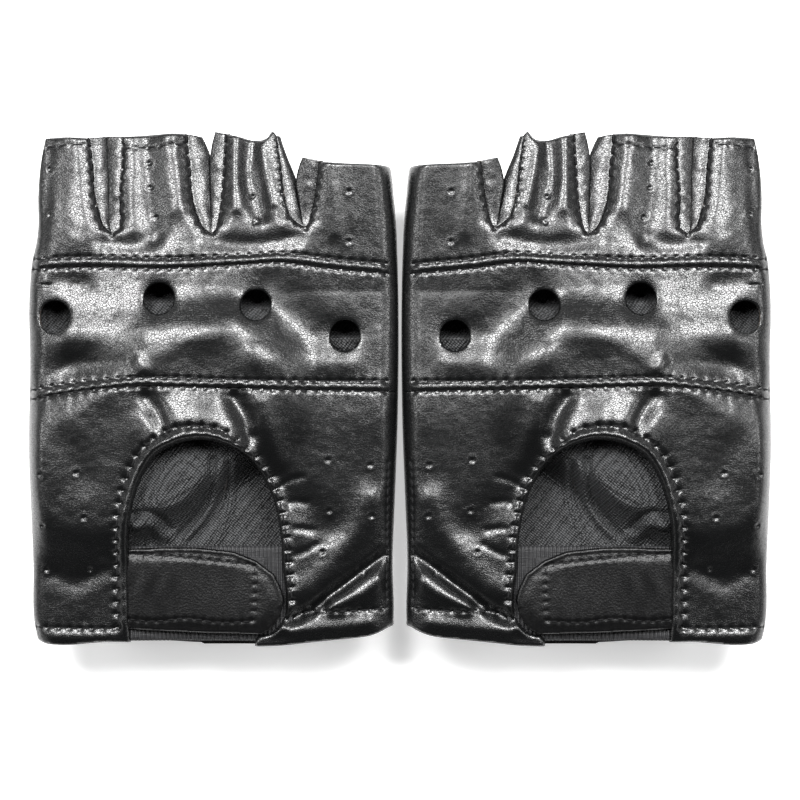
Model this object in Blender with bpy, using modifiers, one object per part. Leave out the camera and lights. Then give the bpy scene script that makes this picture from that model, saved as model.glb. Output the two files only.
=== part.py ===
"""A pair of fingerless leather driving gloves, lying palm down and side by side.

Metres, +Z up. The pair stands on Z = 0 with its middle at X = 0 and Y = 0. Fingers point along +Y.
Each glove is drawn once in plan coordinates (u, v), in millimetres: u is the distance from the plane
midway between the gloves, so the index finger is at the large end of u, and v runs from the wrist
hem (0) to the finger hems. The right-hand glove lies at -X and the left-hand glove mirrors it at +X.
"""
import math

import bmesh
import bpy
from mathutils import Vector

MM = 0.001
GLOVES = {"right": -1, "left": 1}

# Driving dimensions, in millimetres
GLOVE_LENGTH = 158.8
LITTLE_LENGTH = 149.8
LEATHER = 1.0
KNIT = 0.6
GAP = 0.3
SEAM_HEIGHT = 5.0
LITTLE_EDGE = [(0, 2.4), (26, 2.3), (45, 1.7), (70, 0.7), (120, 0.8), (138, 1.7), (150, 2.9), (160, 3.6)]
INDEX_EDGE = [
    (0, 113.6), (26, 114.5), (48, 115.5), (90, 115.6), (111, 115.6), (128, 113.2), (150, 112.2), (160, 110.2)
]
BACK_HEIGHT = [(0, 12.0), (30, 12.4), (75, 13.0), (110, 12.4), (130, 10.2), (160, 9.6)]
SIDE_OPENING = 0.65
PALM_EDGE_SLOPE = 30.0
LINING_INSET = 1.6
LINING_HEM = 1.5
PALM_LINING_LIFT = 0.15
PALM_LINING_SLACK = 1.4
BACK_LINING_DROP = 0.15
BACK_LINING_SLACK = 2.0

# Seams and openings
UPPER_SEAM = (120.2, 116.9)
LOWER_SEAM = (82.4, 79.4)
LAP = 1.3
LAP_REACH = 5.0
LAP_CLEARANCE = 0.1
LAP_LEAD = 3.0
LINING_TOP = 124.0
HOLE_RADIUS = 5.1
KNUCKLE_HOLES = [(106.8, 102.0), (74.2, 107.5), (44.5, 105.7), (16.9, 96.1)]
KEYHOLE_MIDDLE = 59.8
KEYHOLE_HALF_WIDTH = 24.0
KEYHOLE_SPRING = 31.0
KEYHOLE_TOP = 64.8
KEYHOLE_TAB = (44.0, 3.4)
KEYHOLE_ROUNDNESS = 0.92
LINING_KEYHOLE_MARGIN = 4.6
KEYHOLE_ROW_MARGIN = 3.4
# each gap between fingers: middle and half width at the hems, and the middle at the crotch
FINGER_GAPS = {
    "index_middle": ((91.8, 5.0), (89.4, 128.4)),
    "middle_ring": ((60.5, 6.2), (58.2, 128.6)),
    "ring_little": ((31.6, 6.8), (29.4, 130.2)),
}
FINGER_MIDDLES = [100.5, 75.0, 45.5, 15.5]
CROTCH = 128.0
FINGER_HALF_WIDTH = 14.0
FINGER_DROP = 1.6
FOURCHETTE_CLEARANCE = 1.0
FOURCHETTE_THICKNESS = 0.8

# Thumb, folded flat under the palm: where its spine starts and ends, and its half widths
THUMB_ROOT = (96.5, 54.0)
THUMB_TIP = (57.5, 79.0)
THUMB_HALF_WIDTHS = (17.0, 14.0)
THUMB_FOLD = 97.5
THUMB_TURN = math.radians(34)
THUMB_LOW = 0.4
THUMB_HIGH = 8.2
THUMB_HOLE = (83.0, 56.0, 10.5, 12.5)
THUMB_LEATHER = 0.8
THUMB_KNIT = 0.4
PALM_RISE = 8.7
RISE_MARGIN = 3.0
BACK_RISE = 7.4
PALM_FALL = 11.0
BACK_FALL = 14.0

# Wrist closure
STRAP_ROOT = 82.2
STRAP_TIP = 35.8
STRAP_SPAN = (4.6, 30.6)
STRAP_THICKNESS = 1.6
STRAP_LOW = 12.6
STRAP_TAB_RADIUS = 11.0
BAND_SPAN = (1.6, 31.2)
BAND_ENDS = (33.4, 86.6)
BAND_MIDDLE = 10.3
BAND_SAG = 0.9
BAND_THICKNESS = 1.0
BAND_CLEARANCE = 0.15
TAPE_ENDS = (42.0, 62.0)
TAPE_SPAN = (7.5, 27.5)
HOOK_TAPE_THICKNESS = 0.6
LOOP_TAPE_THICKNESS = 0.5
THREAD_RADIUS = 0.25
THREAD_LIFT = 1.2
KEYHOLE_THREAD_LIFT = 1.5


def smooth_step(value):
    """0 below 0, 1 above 1, and an easy slope between."""
    value = min(max(value, 0.0), 1.0)
    return value * value * (3 - 2 * value)


def read_curve(keys, at):
    """A smooth curve through (position, value) keys, read at one position."""
    places = [key[0] for key in keys]
    index = max(i for i in range(len(keys) - 1) if i == 0 or places[i] <= at)
    low, high = keys[index], keys[index + 1]
    before = keys[max(index - 1, 0)]
    after = keys[min(index + 2, len(keys) - 1)]
    span = high[0] - low[0]
    t = min(max((at - low[0]) / span, 0.0), 1.0)
    slope_low = (high[1] - before[1]) / (high[0] - before[0]) * span
    slope_high = (after[1] - low[1]) / (after[0] - low[0]) * span
    return (
        low[1] * (2 * t**3 - 3 * t**2 + 1)
        + slope_low * (t**3 - 2 * t**2 + t)
        + high[1] * (3 * t**2 - 2 * t**3)
        + slope_high * (t**3 - t**2)
    )


def thumb_section(along):
    """The folded thumb's middle, half width and across direction at a fraction of its length."""
    middle = Vector(THUMB_ROOT).lerp(Vector(THUMB_TIP), along)
    half = THUMB_HALF_WIDTHS[0] + (THUMB_HALF_WIDTHS[1] - THUMB_HALF_WIDTHS[0]) * along
    turn = THUMB_TURN * smooth_step(along)
    return middle, half, Vector((math.sin(turn), math.cos(turn)))


def thumb_outline():
    """The four corners of the folded thumb in plan."""
    corners = []
    for along, side in ((0, -1), (0, 1), (1, 1), (1, -1)):
        middle, half, across = thumb_section(along)
        corners.append(middle + across * half * side)
    return corners


def distance_from_thumb(u, v):
    """How far a plan point lies outside the folded thumb's outline; 0 inside it."""
    point = Vector((u, v))
    corners = thumb_outline()
    inside = True
    nearest = math.inf
    for start, end in zip(corners, corners[1:] + corners[:1]):
        edge = end - start
        offset = point - start
        fraction = min(max(offset.dot(edge) / edge.length_squared, 0.0), 1.0)
        nearest = min(nearest, (offset - edge * fraction).length)
        inside = inside and edge.x * offset.y - edge.y * offset.x >= 0
    return 0.0 if inside else nearest


def across(u, v, level):
    """Where a plan point lies between the long edges, from -1 to 1, and how full the section is there."""
    little = read_curve(LITTLE_EDGE, v)
    index = read_curve(INDEX_EDGE, v)
    half = (index - little) / 2 - level
    x = min(max((u - (index + little) / 2) / half, -1.0), 1.0)
    return x, (1 - x**4) ** 0.25


def steepness(rise, u, v):
    """How much further apart two layers are, straight up, where a rise slopes: 0 on the flat."""
    slope_u = (rise(u + 1, v) - rise(u - 1, v)) / 2
    slope_v = (rise(u, v + 1) - rise(u, v - 1)) / 2
    return math.hypot(1, slope_u, slope_v) - 1


def back_rise(u, v):
    """How much the back is pushed up by the thumb folded under the palm."""
    return BACK_RISE * smooth_step(1 - (distance_from_thumb(u, v) - RISE_MARGIN) / BACK_FALL)


def back_height(u, v, level):
    """Height of the back of the glove, a given depth under its outer surface."""
    fullness = across(u, v, level)[1]
    top = read_curve(BACK_HEIGHT, v) - level
    height = SEAM_HEIGHT + (top - SEAM_HEIGHT) * fullness
    rise = back_rise(u, v) - level * steepness(back_rise, u, v)
    from_middle = min(abs(u - middle) for middle in FINGER_MIDDLES) / FINGER_HALF_WIDTH
    drop = FINGER_DROP * min(from_middle, 1.0) ** 3 * smooth_step((v - CROTCH) / 8)
    return height + rise * fullness - drop


def palm_rise(u, v):
    """How much the palm is pushed up by the thumb folded under it."""
    return PALM_RISE * smooth_step(1 - (distance_from_thumb(u, v) - RISE_MARGIN) / PALM_FALL)


def palm_height(u, v, level):
    """Height of the palm, a given depth inside its outer surface, flat where it lies on the table."""
    fullness = min(1.0, 1.04 * across(u, v, level)[1])
    rise = palm_rise(u, v) + level * steepness(palm_rise, u, v)
    return SEAM_HEIGHT - (SEAM_HEIGHT - level) * fullness + rise * fullness


def hem_line(u):
    """How far the fingers reach: the little finger is shorter than the other three."""
    little_finger = smooth_step((FINGER_GAPS["ring_little"][0][0] + 2 - u) / 4)
    return GLOVE_LENGTH + (LITTLE_LENGTH - GLOVE_LENGTH) * little_finger


def place(side, u, v, z):
    """A point of a glove in metres, in the pair's own frame."""
    return Vector((side * u * MM, (v - GLOVE_LENGTH / 2) * MM, z * MM))


def make_material(name, colour, roughness, metallic=0.0):
    """A plain surface finish."""
    material = bpy.data.materials.new(name)
    material.use_nodes = True
    shader = material.node_tree.nodes["Principled BSDF"]
    shader.inputs["Base Color"].default_value = (*colour, 1.0)
    shader.inputs["Roughness"].default_value = roughness
    shader.inputs["Metallic"].default_value = metallic
    return material


def make_collection(name):
    """A new collection in the scene."""
    collection = bpy.data.collections.new(name)
    bpy.context.scene.collection.children.link(collection)
    return collection


def add_object(name, data, material, hide=False):
    """An object of the gloves, or a cutter, which is never drawn."""
    obj = bpy.data.objects.new(name, data)
    (cutters if hide else gloves).objects.link(obj)
    if hide:
        obj.hide_render = True
        obj.display_type = "WIRE"
    else:
        data.materials.append(material)
    return obj


def add_sheet(name, side, surface, columns, rows, thickness, material, cuts=()):
    """A sheet: a grid laid on surface(s, t), thickened to both sides and then cut."""
    shape = bmesh.new()
    bmesh.ops.create_grid(shape, x_segments=columns, y_segments=rows, size=0.5)
    for vert in shape.verts:
        vert.co = place(side, *surface(vert.co.x + 0.5, vert.co.y + 0.5))
    bmesh.ops.recalc_face_normals(shape, faces=shape.faces)
    mesh = bpy.data.meshes.new(name)
    shape.to_mesh(mesh)
    shape.free()
    obj = add_object(name, mesh, material)
    solid = obj.modifiers.new("thickness", "SOLIDIFY")
    solid.thickness = thickness * MM
    solid.offset = 0
    for cutter in cuts:
        cut = obj.modifiers.new("cut", "BOOLEAN")
        cut.operation = "DIFFERENCE"
        cut.object = cutter
    mesh.shade_smooth()
    return obj


def flat_curve(name, side, outline, middle_z, thickness, origin):
    """A filled flat outline in plan, as a curve with half its thickness on each side of its plane."""
    data = bpy.data.curves.new(name, "CURVE")
    data.dimensions = "2D"
    data.fill_mode = "BOTH"
    data.extrude = thickness / 2 * MM
    spline = data.splines.new("POLY")
    spline.points.add(len(outline) - 1)
    for point, (u, v) in zip(spline.points, outline):
        point.co = (*(place(side, u, v, middle_z) - origin).xy, 0.0, 1.0)
    spline.use_cyclic_u = True
    return data


def add_cutter(name, side, outline, low, high):
    """A prism standing on a plan outline, as a closed mesh that can cut."""
    middle = place(side, 0, 0, (low + high) / 2)
    origin = Vector((0, 0, middle.z))
    data = flat_curve(name, side, outline, (low + high) / 2, high - low, origin)
    guide = add_object(name + "_curve", data, None, hide=True)
    guide.location = origin
    bpy.context.view_layer.update()
    evaluated = guide.evaluated_get(bpy.context.evaluated_depsgraph_get())
    mesh = bpy.data.meshes.new_from_object(evaluated)
    shape = bmesh.new()
    shape.from_mesh(mesh)
    bmesh.ops.remove_doubles(shape, verts=shape.verts, dist=0.01 * MM)
    bmesh.ops.recalc_face_normals(shape, faces=shape.faces)
    shape.to_mesh(mesh)
    shape.free()
    cutter = add_object(name, mesh, None, hide=True)
    cutter.matrix_world = guide.matrix_world
    bpy.data.objects.remove(guide)
    return cutter


def add_plate(name, side, outline, low, thickness, material, pivot=None):
    """A flat leather or tape piece, its origin at its pivot if it turns on one."""
    middle_z = low + thickness / 2
    origin = pivot or place(side, *outline[0], middle_z)
    data = flat_curve(name, side, outline, middle_z, thickness, origin)
    obj = add_object(name, data, material)
    obj.location = Vector((origin.x, origin.y, middle_z * MM))
    return obj


def add_thread(name, side, route, height, material):
    """One sewing thread along a plan route, just clear of the surface under it."""
    data = bpy.data.curves.new(name, "CURVE")
    data.dimensions = "3D"
    data.bevel_depth = THREAD_RADIUS * MM
    data.bevel_resolution = 0
    data.use_fill_caps = True
    spline = data.splines.new("POLY")
    spline.points.add(len(route) - 1)
    for point, (u, v) in zip(spline.points, route):
        point.co = (*place(side, u, v, height(u, v)), 1.0)
    return add_object(name, data, material)


def gap_half_width(gap, v):
    """Half width of a gap between fingers, closing in a round curve at the crotch."""
    (_, half), (_, crotch) = FINGER_GAPS[gap]
    return half * math.sqrt(min(max((v - crotch) / (GLOVE_LENGTH - crotch), 0.0), 1.2))


def gap_outline(gap, clearance, top, steps):
    """The U-shaped route round a gap, from one hem to the crotch and back, kept clear of its edge."""
    (hem_middle, _), (crotch_middle, crotch) = FINGER_GAPS[gap]
    low = crotch + clearance
    route = []
    for step in range(-steps, steps + 1):
        fraction = abs(step) / steps
        v = low + (top - low) * fraction**1.6
        middle = crotch_middle + (hem_middle - crotch_middle) * (v - crotch) / (GLOVE_LENGTH - crotch)
        half = max(gap_half_width(gap, v) - clearance * (0.4 + 0.6 * fraction), 0.0)
        route.append((middle + math.copysign(half, step) if step else middle, v))
    return route


def keyhole_outline(margin, low):
    """The arched opening on the back of the wrist, grown outward by a margin."""
    half = KEYHOLE_HALF_WIDTH + margin
    rise = KEYHOLE_TOP - KEYHOLE_SPRING + margin
    arch = []
    for step in range(17):
        turn = math.pi * step / 16
        reach = math.copysign(abs(math.cos(turn)) ** KEYHOLE_ROUNDNESS, math.cos(turn))
        arch.append((KEYHOLE_MIDDLE + half * reach, KEYHOLE_SPRING + rise * math.sin(turn)))
    return [(KEYHOLE_MIDDLE + half, low)] + arch + [(KEYHOLE_MIDDLE - half, low)]


def circle(u, v, radius_u, radius_v, steps):
    """Points round an ellipse in plan."""
    turns = [2 * math.pi * step / steps for step in range(steps)]
    return [(u + radius_u * math.cos(turn), v + radius_v * math.sin(turn)) for turn in turns]


def make_cutters(prefix, side):
    """The prisms that open the finger gaps, the knuckle holes, the keyhole and the thumb hole."""
    gaps = [
        add_cutter(f"{prefix}_gap_{gap}", side, gap_outline(gap, 0.0, GLOVE_LENGTH + 4, 8), -2, 25)
        for gap in FINGER_GAPS
    ]
    holes = [
        add_cutter(f"{prefix}_knuckle_hole_{i}", side, circle(*middle, HOLE_RADIUS, HOLE_RADIUS, 20), 6, 25)
        for i, middle in enumerate(KNUCKLE_HOLES)
    ]
    tab_u, tab_v = KEYHOLE_TAB
    keyhole = keyhole_outline(0.0, -5)
    keyhole[-1:] = [(keyhole[-1][0], tab_v), (tab_u, tab_v), (tab_u, -5)]
    wide_keyhole = keyhole_outline(LINING_KEYHOLE_MARGIN, -5)
    return {
        "gaps": gaps,
        "holes": holes,
        "keyhole": [add_cutter(f"{prefix}_keyhole", side, keyhole, 6, 25)],
        "lining_keyhole": [add_cutter(f"{prefix}_lining_keyhole", side, wide_keyhole, 5, 25)],
        "thumb_hole": [add_cutter(f"{prefix}_thumb_hole", side, circle(*THUMB_HOLE, 20), -2, 14)],
    }


def plan_point(s, t, low, high, level):
    """Plan position of a grid point: s runs across the glove, closer set at the edges, and t along it.

    high is None for a sheet that reaches the finger hems. level(v) is the inset from the long edges.
    """
    spread = math.sin((s - 0.5) * math.pi)
    guess = low + ((high or GLOVE_LENGTH) - low) * t
    middle = (read_curve(LITTLE_EDGE, guess) + read_curve(INDEX_EDGE, guess)) / 2
    half = (read_curve(INDEX_EDGE, guess) - read_curve(LITTLE_EDGE, guess)) / 2 - level(guess)
    u = middle + half * spread
    top = high or hem_line(u)
    return u, low + (top - low) * t


def lapped_level(v, lap_from):
    """Depth of a panel's middle: it dips under the next panel above lap_from."""
    return LEATHER / 2 + (LAP + LAP_CLEARANCE) * smooth_step((v - lap_from) / 1.5)


def make_back_panels(prefix, side, cuts, leather):
    """The three leather panels of the back: each one's lower edge laps over the next one down."""

    def finger_back(s, t):
        u, v = plan_point(s, t, UPPER_SEAM[1] - 1, None, lambda v: LEATHER / 2)
        return u, v, max(back_height(u, v, LEATHER / 2), SEAM_HEIGHT + SIDE_OPENING)

    def knuckle(s, t):
        def level(v):
            return lapped_level(v, UPPER_SEAM[1] - 1 - LAP_LEAD)

        u, v = plan_point(s, t, LOWER_SEAM[1] - 1, UPPER_SEAM[1] - 1 + LAP_REACH, level)
        return u, v, max(back_height(u, v, level(v)), SEAM_HEIGHT + SIDE_OPENING)

    def cuff(s, t):
        def level(v):
            return lapped_level(v, LOWER_SEAM[1] - 1 - LAP_LEAD)

        u, v = plan_point(s, t, 0.4, LOWER_SEAM[1] - 1 + LAP_REACH, level)
        return u, v, max(back_height(u, v, level(v)), SEAM_HEIGHT + SIDE_OPENING)

    add_sheet(f"{prefix}_finger_back_panel", side, finger_back, 24, 5, LEATHER, leather, cuts["gaps"])
    add_sheet(f"{prefix}_knuckle_panel", side, knuckle, 16, 8, LEATHER, leather, cuts["holes"])
    add_sheet(f"{prefix}_cuff_panel", side, cuff, 16, 15, LEATHER, leather, cuts["keyhole"])


def make_palm(prefix, side, cuts, leather):
    """The palm and finger fronts in one piece, flat on the table and raised over the folded thumb."""

    def palm(s, t):
        u, v = plan_point(s, t, 0.0, None, lambda v: LEATHER / 2)
        from_edge = 1 - abs(across(u, v, LEATHER / 2)[0])
        highest = SEAM_HEIGHT - SIDE_OPENING + PALM_EDGE_SLOPE * from_edge
        return u, v, min(palm_height(u, v, LEATHER / 2), highest)

    add_sheet(f"{prefix}_palm_panel", side, palm, 18, 20, LEATHER, leather, cuts["gaps"] + cuts["thumb_hole"])


def near_lap(v):
    """1 under a lapped seam, easing to 0 a little way from it."""
    nearest = min(abs(v - sum(seam) / 2) for seam in (UPPER_SEAM, LOWER_SEAM))
    return smooth_step(2 - nearest / 6)


def near_thumb(u, v):
    """1 over the folded thumb and the slope round it, easing to 0 on the flat."""
    return smooth_step(1 - (distance_from_thumb(u, v) - RISE_MARGIN - PALM_FALL) / 8)


def make_linings(prefix, side, cuts, knit):
    """Knit linings inside the palm and the back, with the same openings as the leather."""
    level = LEATHER + GAP + KNIT / 2

    def palm_side(s, t):
        u, v = plan_point(s, t, LINING_HEM, LINING_TOP, lambda v: level + LINING_INSET)
        lift = PALM_LINING_LIFT + PALM_LINING_SLACK * near_thumb(u, v)
        return u, v, palm_height(u, v, level) + lift

    def back_side(s, t):
        u, v = plan_point(s, t, LINING_HEM, LINING_TOP, lambda v: level + LINING_INSET)
        drop = BACK_LINING_DROP + BACK_LINING_SLACK * max(near_lap(v), near_thumb(u, v))
        return u, v, back_height(u, v, level) - drop

    add_sheet(f"{prefix}_palm_lining", side, palm_side, 18, 13, KNIT, knit, cuts["thumb_hole"])
    add_sheet(f"{prefix}_back_lining", side, back_side, 16, 12, KNIT, knit, cuts["holes"] + cuts["lining_keyhole"])


def make_fourchettes(prefix, side, leather):
    """The bent side walls between the fingers, each filling the edge of one gap."""
    for gap in FINGER_GAPS:
        top = GLOVE_LENGTH - (5.0 if gap == "ring_little" else 0.6)
        route = gap_outline(gap, FOURCHETTE_CLEARANCE, top, 8)

        def wall(s, t, route=route):
            u, v = route[round(s * (len(route) - 1))]
            low = palm_height(u, v, 0.0) + 0.2
            high = back_height(u, v, 0.0) - 0.2
            return u, v, low + (high - low) * t

        add_sheet(f"{prefix}_fourchette_{gap}", side, wall, len(route) - 1, 3, FOURCHETTE_THICKNESS, leather)


def thumb_tube(inset):
    """Surface of the folded thumb: a flattened tube, closed along its long edges and open at both ends."""

    def surface(s, t):
        middle, half, direction = thumb_section(t)
        turn = 2 * math.pi * s
        width = math.copysign(abs(math.cos(turn)) ** 0.6, math.cos(turn)) * (half - inset)
        rise = math.copysign(abs(math.sin(turn)) ** 0.4, math.sin(turn))
        plan = middle + direction * width
        height = (THUMB_HIGH - THUMB_LOW) / 2 - inset
        return plan.x, plan.y, (THUMB_HIGH + THUMB_LOW) / 2 + rise * height

    return surface


def make_thumb(prefix, side, leather, knit):
    """The half thumb and its lining: flattened tubes, each turning about the fold at the thumb's root."""
    hinge = place(side, THUMB_FOLD, THUMB_ROOT[1], THUMB_LOW / 2)
    fold = bpy.data.objects.new(f"{prefix}_thumb_fold", None)
    gloves.objects.link(fold)
    fold.location = hinge
    for name, inset, thickness, material in (
        ("thumb_stall", LEATHER / 2, THUMB_LEATHER, leather),
        ("thumb_lining", LEATHER + GAP, THUMB_KNIT, knit),
    ):
        tube = add_sheet(f"{prefix}_{name}", side, thumb_tube(inset), 16, 5, thickness, material)
        close_tube(tube)
        tube.data.transform(fold.matrix_basis.inverted())
        tube.parent = fold


def close_tube(obj):
    """Join a rolled-up grid where its first and last columns meet."""
    shape = bmesh.new()
    shape.from_mesh(obj.data)
    bmesh.ops.remove_doubles(shape, verts=shape.verts, dist=0.01 * MM)
    bmesh.ops.recalc_face_normals(shape, faces=shape.faces)
    shape.to_mesh(obj.data)
    shape.free()


def strap_outline():
    """The strap in plan: square where it is sewn on, and a full round tab at its free end."""
    low, high = STRAP_SPAN
    radius = STRAP_TAB_RADIUS
    outline = [(STRAP_ROOT, high), (STRAP_ROOT, low)]
    for middle_v, start in ((low + radius, -90), (high - radius, 0)):
        for step in range(6):
            turn = math.radians(start + 18 * step)
            outline.append((STRAP_TIP + radius - radius * math.cos(turn), middle_v + radius * math.sin(turn)))
    return outline


def rectangle(us, vs):
    """Corners of a rectangle in plan."""
    return [(us[0], vs[0]), (us[1], vs[0]), (us[1], vs[1]), (us[0], vs[1])]


def make_closure(prefix, side, leather, elastic, tape):
    """The elastic band across the wrist opening, the hook-and-loop tapes and the strap over them."""

    def band(s, t):
        u = BAND_ENDS[0] + (BAND_ENDS[1] - BAND_ENDS[0]) * s
        v = BAND_SPAN[0] + (BAND_SPAN[1] - BAND_SPAN[0]) * t
        return u, v, BAND_MIDDLE - BAND_SAG * math.sin(math.pi * s) ** 0.7

    add_sheet(f"{prefix}_elastic_band", side, band, 12, 2, BAND_THICKNESS, elastic)
    band_top = BAND_MIDDLE + BAND_THICKNESS / 2
    loop_low = band_top - BAND_SAG + GAP + BAND_CLEARANCE
    hook_low = STRAP_LOW - GAP - HOOK_TAPE_THICKNESS
    patch = rectangle(TAPE_ENDS, TAPE_SPAN)
    add_plate(f"{prefix}_loop_tape", side, patch, loop_low, LOOP_TAPE_THICKNESS, tape)
    hinge = place(side, STRAP_ROOT, sum(STRAP_SPAN) / 2, STRAP_LOW + STRAP_THICKNESS / 2)
    fold = bpy.data.objects.new(f"{prefix}_strap_fold", None)
    gloves.objects.link(fold)
    fold.location = hinge
    bpy.context.view_layer.update()
    strap = add_plate(f"{prefix}_strap", side, strap_outline(), STRAP_LOW, STRAP_THICKNESS, leather, hinge)
    hook = add_plate(f"{prefix}_hook_tape", side, patch, hook_low, HOOK_TAPE_THICKNESS, tape, hinge)
    for piece in (strap, hook):
        piece.location -= fold.location
        piece.parent = fold


def run(start, end, steps):
    """Evenly spaced plan points along a straight line."""
    return [
        (start[0] + (end[0] - start[0]) * i / steps, start[1] + (end[1] - start[1]) * i / steps)
        for i in range(steps + 1)
    ]


def make_threads(prefix, side, thread):
    """The sewing threads that show on the back of the glove."""

    def on_back(u, v, lift=THREAD_LIFT):
        return back_height(u, v, 0.0) + lift

    def on_rim(u, v):
        return on_back(u, v, KEYHOLE_THREAD_LIFT)

    rows = {
        "upper_seam_thread_1": UPPER_SEAM[0],
        "upper_seam_thread_2": UPPER_SEAM[1],
        "lower_seam_thread_1": LOWER_SEAM[0],
        "lower_seam_thread_2": LOWER_SEAM[1],
    }
    for name, v in rows.items():
        add_thread(f"{prefix}_{name}", side, run((6, v), (110, v), 12), on_back, thread)
    add_thread(f"{prefix}_keyhole_thread", side, keyhole_outline(KEYHOLE_ROW_MARGIN, 5), on_rim, thread)
    add_thread(f"{prefix}_hem_thread", side, run((6, 10), (29, 9), 4), on_back, thread)
    add_thread(f"{prefix}_side_seam_thread", side, run((5.0, 12), (4.6, 56), 8), on_back, thread)
    for gap in FINGER_GAPS:
        top = GLOVE_LENGTH - (9.6 if gap == "ring_little" else 1.0)
        route = gap_outline(gap, -1.4, top, 6)
        add_thread(f"{prefix}_{gap}_thread", side, route, on_back, thread)
    low, high = STRAP_SPAN
    box = [(STRAP_ROOT - 1.2, high - 2.0), (46, high - 4.0), (46, low + 3.0), (STRAP_ROOT - 1.2, low + 3.6)]
    strap_top = STRAP_LOW + STRAP_THICKNESS + GAP + THREAD_RADIUS
    stitching = add_thread(f"{prefix}_strap_thread", side, box, lambda u, v: strap_top, thread)
    fold = bpy.data.objects[f"{prefix}_strap_fold"]
    stitching.location = -fold.location
    stitching.parent = fold


for old in list(bpy.data.objects):
    bpy.data.objects.remove(old, do_unlink=True)
gloves = make_collection("fingerless_gloves")
cutters = make_collection("cutters")
leather = make_material("black_leather", (0.02, 0.021, 0.021), 0.32)
knit = make_material("black_knit", (0.03, 0.03, 0.032), 0.85)
elastic = make_material("black_elastic", (0.012, 0.012, 0.012), 0.8)
tape = make_material("black_hook_and_loop", (0.015, 0.015, 0.015), 0.95)
thread = make_material("black_thread", (0.01, 0.01, 0.01), 0.6)
for prefix, side in GLOVES.items():
    cuts = make_cutters(prefix, side)
    make_palm(prefix, side, cuts, leather)
    make_back_panels(prefix, side, cuts, leather)
    make_linings(prefix, side, cuts, knit)
    make_fourchettes(prefix, side, leather)
    make_thumb(prefix, side, leather, knit)
    make_closure(prefix, side, leather, elastic, tape)
    make_threads(prefix, side, thread)
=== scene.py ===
"""Looks of a pair of fingerless leather gloves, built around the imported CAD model.

Each glove is shaped once in plan coordinates (u, v), in millimetres: u is the distance from the plane
midway between the gloves, and v runs from the wrist hem to the finger hems. z is the height over the
surface that the gloves lie on. The right-hand glove lies at -X, and the left-hand glove mirrors it.
"""
import math

import bpy
import numpy as np
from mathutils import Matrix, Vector


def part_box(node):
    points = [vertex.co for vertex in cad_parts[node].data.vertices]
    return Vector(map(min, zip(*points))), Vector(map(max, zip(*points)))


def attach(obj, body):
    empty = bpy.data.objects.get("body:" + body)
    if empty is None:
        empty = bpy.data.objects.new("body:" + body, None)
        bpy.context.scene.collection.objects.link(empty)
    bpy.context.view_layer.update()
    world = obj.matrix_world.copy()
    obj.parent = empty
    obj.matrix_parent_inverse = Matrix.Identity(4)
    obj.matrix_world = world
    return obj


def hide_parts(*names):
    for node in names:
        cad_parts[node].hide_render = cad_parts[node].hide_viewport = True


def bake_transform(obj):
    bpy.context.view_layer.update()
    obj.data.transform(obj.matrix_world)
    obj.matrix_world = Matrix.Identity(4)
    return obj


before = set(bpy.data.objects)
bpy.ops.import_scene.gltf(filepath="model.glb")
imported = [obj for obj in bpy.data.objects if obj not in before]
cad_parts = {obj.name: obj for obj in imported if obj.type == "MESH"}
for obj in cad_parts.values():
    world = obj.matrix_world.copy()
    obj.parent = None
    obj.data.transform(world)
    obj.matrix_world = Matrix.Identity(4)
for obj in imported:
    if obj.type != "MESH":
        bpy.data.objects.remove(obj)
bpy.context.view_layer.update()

MM = 0.001
SIDES = {"right": -1, "left": 1}
WRIST_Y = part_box("right_palm_panel")[0].y / MM
SEAM_Z = 5.0
SIDE_RADIUS = 6.5
LEATHER = 0.9
KNIT = 0.5
CELL = 0.55
PITCH = 3.5
TUCK = 2.6  # how far a panel passes under the next one
STRAP_TOP = 13.1
STRAP_DEPTH = 1.4
BAND_TOP = 10.9
LOOP_TAPE_Z, HOOK_TAPE_Z = 10.15, 10.95
THUMB_ROOT, THUMB_TIP = (96.5, 54.0), (57.5, 79.0)
THUMB_MIDDLE_Z = 4.3
THUMB_AXIS = ((96, 54), (57, 79))
THUMB_LIFT = 4.6  # how far the thumb pushes the back up
PALM_RECESS = 8.8  # how far it pushes the palm up
LINING_Z = 2.2
KNUCKLE_LINING_LIFT = 4.6
BACK_LINING_DEPTH = 2.1
FLOOR_Z = -18.5
FLOOR_HALF = 0.8  # metres, like the camera's place
CAMERA_PLACE = (0, -0.0031, 0.699)

# Plan outlines, as (v, u) for the long edges and (u, v) for the rest
LITTLE_EDGE = [
    (0, 2.6), (8, 2.0), (26, 2.3), (45, 1.6), (70, 0.7), (82, 0.5), (122, 0.8), (130, 1.1), (138, 1.7),
    (146, 2.4), (152, 3.4), (162, 4.5),
]
INDEX_EDGE = [
    (0, 112.6), (4, 113.6), (26, 114.5), (45, 115.2), (60, 115.7), (90, 115.5), (106, 115.8),
    (114, 115.4), (120, 114.8), (125, 113.6), (130, 113.0), (140, 113.0), (151, 112.1), (162, 109.8),
]
FINGER_HEM = [
    (0, 148.7), (12, 149.3), (20, 149.6), (26, 150.3), (30, 151.6), (34, 154.5), (38.2, 158.4),
    (39.7, 159.8), (41.3, 158.0), (45, 157.2), (50, 158.2), (54.5, 159.3), (57.4, 160.0), (62, 158.6),
    (66.5, 159.2), (76, 159.0), (86.7, 158.5), (91, 158.7), (97, 158.0), (104, 158.2), (116, 157.8),
]
WRIST_HEM = [
    (0, 6.4), (3.5, 5.6), (6, 4.4), (9, 3.3), (13, 2.6), (18, 2.1), (30, 0.9), (36, 0.3), (45, 0.0),
    (63, 0.3), (75, 0.9), (90, 1.3), (107, 0.3), (110, 0.6), (116, 3.2),
]
BACK_TOP = [
    (0, 11.2), (30, 12.2), (60, 13.4), (78, 13.8), (100, 13.2), (118, 12.0), (132, 10.6), (160, 7.6),
]

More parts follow.
